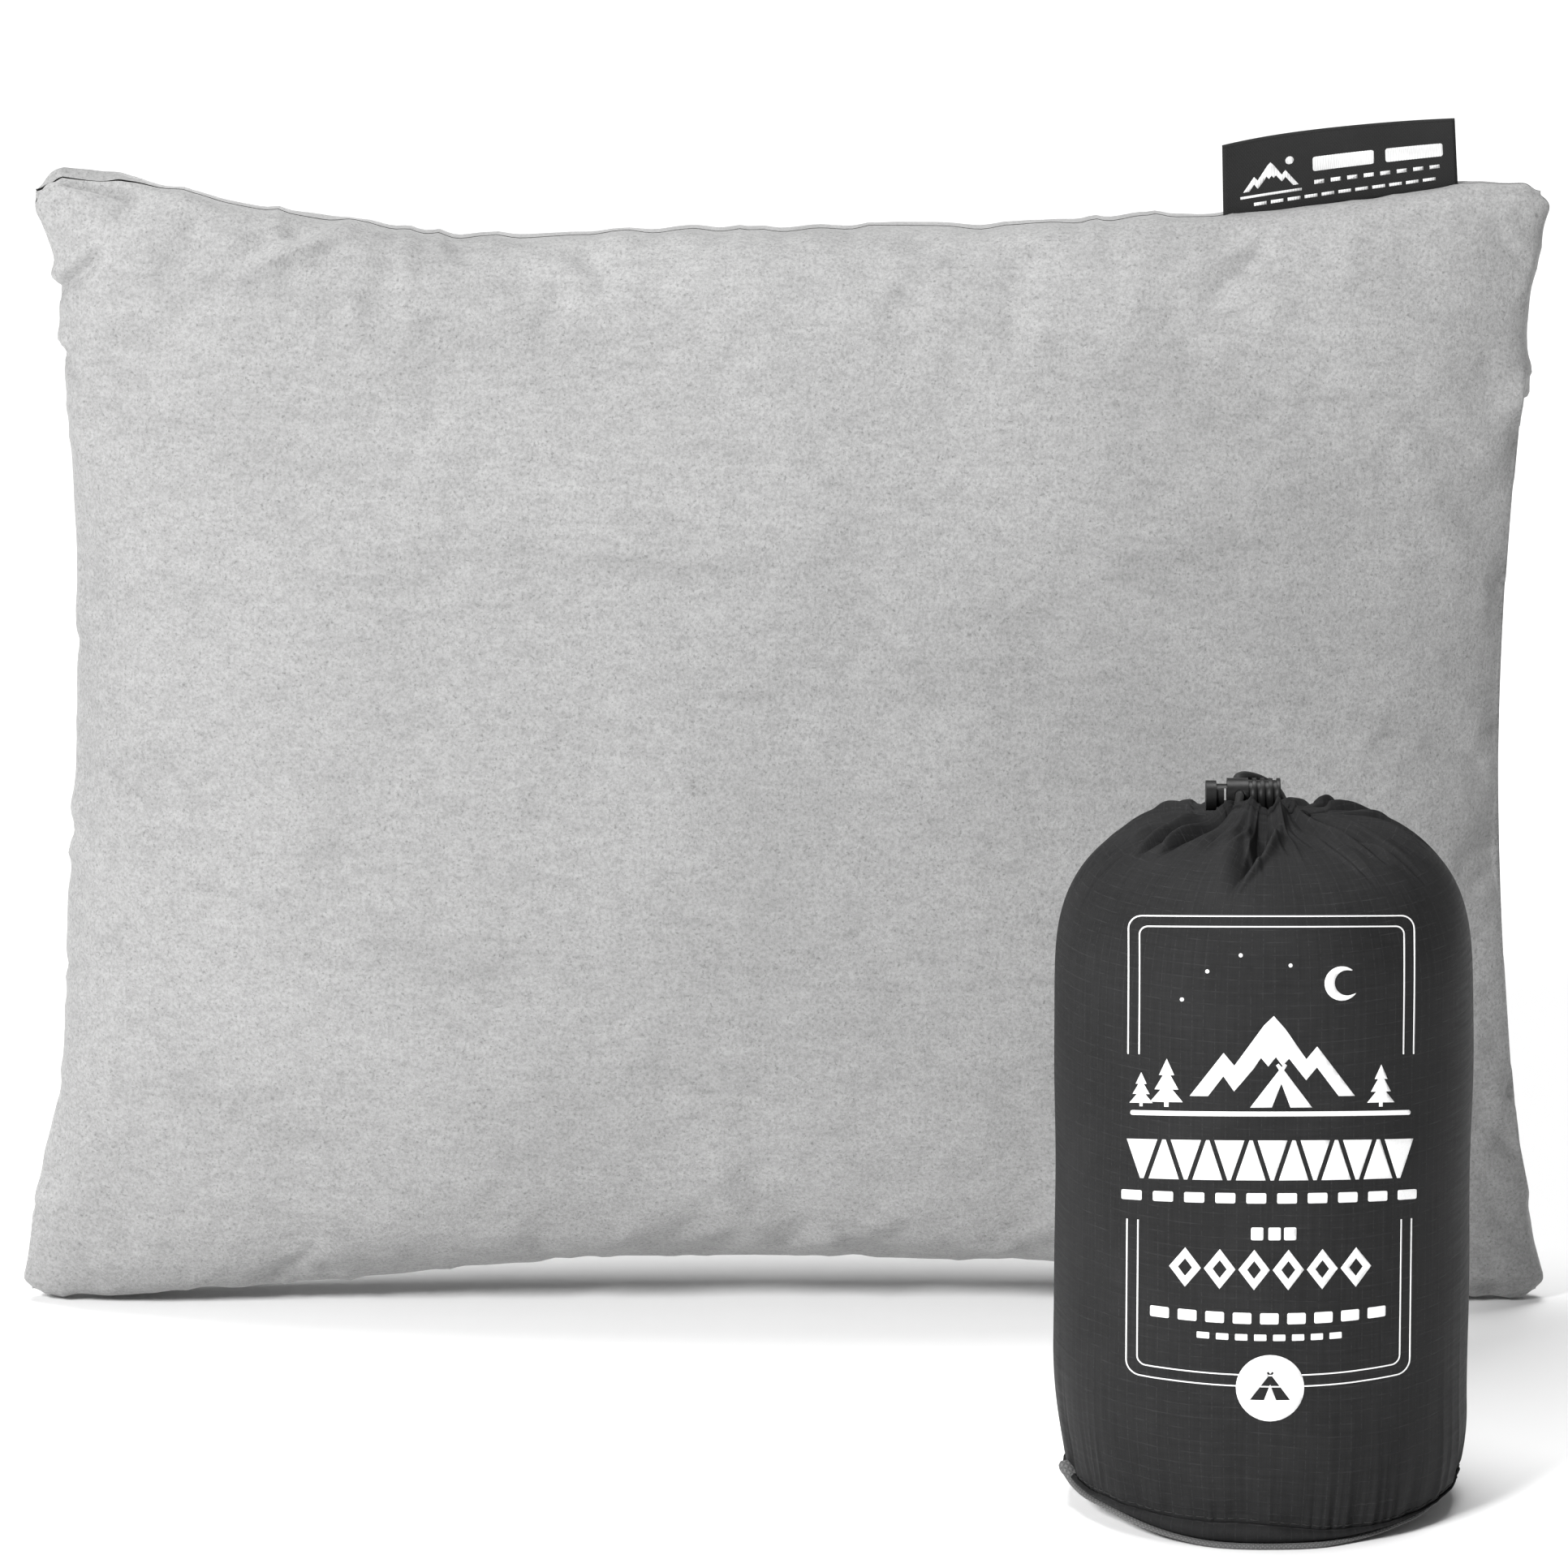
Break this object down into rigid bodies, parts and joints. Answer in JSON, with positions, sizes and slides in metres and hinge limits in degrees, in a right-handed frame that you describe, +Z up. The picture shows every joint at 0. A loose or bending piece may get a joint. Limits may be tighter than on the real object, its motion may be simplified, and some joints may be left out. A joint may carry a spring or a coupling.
{
  "type": "camp pillow",
  "caption": "Small stuffed camp pillow with a zipped removable cover and a woven seam label, and its round drawcord stuff sack closed by a sprung cord lock.",
  "frame": {"origin": "on the floor, at the centre of the footprint of the standing pillow and its sack", "axes": "+X along the pillow's long edge, to the right as seen from the label's front; +Y from the sack towards the pillow; +Z up"},
  "size_m": [0.4, 0.2894, 0.3159],
  "materials": {
    "microsuede": "matte brushed microsuede, light grey",
    "liner_cloth": "plain woven white lining",
    "foam": "open-cell shredded foam",
    "label_weave": "satin-woven black label with white weft",
    "zip_tape": "herringbone-woven grey tape",
    "zip_coil": "grey nylon coil",
    "zip_metal": "grey enamelled zinc",
    "ripstop": "black ripstop nylon with a slight sheen",
    "binding_tape": "black woven binding",
    "cord": "black braided polyester",
    "lock_plastic": "black moulded acetal",
    "spring_steel": "bright spring wire"
  },
  "bodies": {
    "pillow": {"front_panel": "microsuede", "back_panel": "microsuede", "inner_liner": "liner_cloth", "foam_fill": "foam", "woven_label": "label_weave", "zip_tape_front": "zip_tape", "zip_tape_back": "zip_tape", "zip_coil_front": "zip_coil", "zip_coil_back": "zip_coil", "zip_top_stop": "zip_metal", "zip_bottom_stop": "zip_metal"},
    "slider": {"zip_slider": "zip_metal"},
    "pull": {"zip_pull": "zip_metal"},
    "sack": {"sack_body": "ripstop", "sack_base": "ripstop", "base_binding": "binding_tape", "side_seam_binding": "binding_tape", "mouth_hem": "ripstop", "packed_bundle": "microsuede", "drawcord_left": "cord", "drawcord_right": "cord", "cord_knot": "cord"},
    "cord_lock": {"cord_lock_barrel": "lock_plastic", "cord_lock_spring": "spring_steel"},
    "lock_button": {"cord_lock_button": "lock_plastic"}
  },
  "joints": [
    {"name": "zip_slide", "type": "slide", "parent": "pillow", "child": "slider", "axis": [0, 0, -1], "range_m": [0, 0.17]},
    {"name": "pull_hinge", "type": "hinge", "parent": "slider", "child": "pull", "pos_m": [0.187, 0.09275, 0.2342], "axis": [0, -1, 0], "range_deg": [0, 140]},
    {"name": "sack_lift", "type": "slide", "parent": "pillow", "child": "sack", "axis": [0, 0, 1], "range_m": [0, 0.3]},
    {"name": "lock_slide", "type": "slide", "parent": "sack", "child": "cord_lock", "axis": [0, 1, 0], "range_m": [0, 0.008]},
    {"name": "button_press", "type": "slide", "parent": "cord_lock", "child": "lock_button", "axis": [1, 0, 0], "range_m": [0, 0.0024], "stiffness_N_per_m": 300, "springref_m": -0.002, "deforming": ["cord_lock_spring"]}
  ]
}
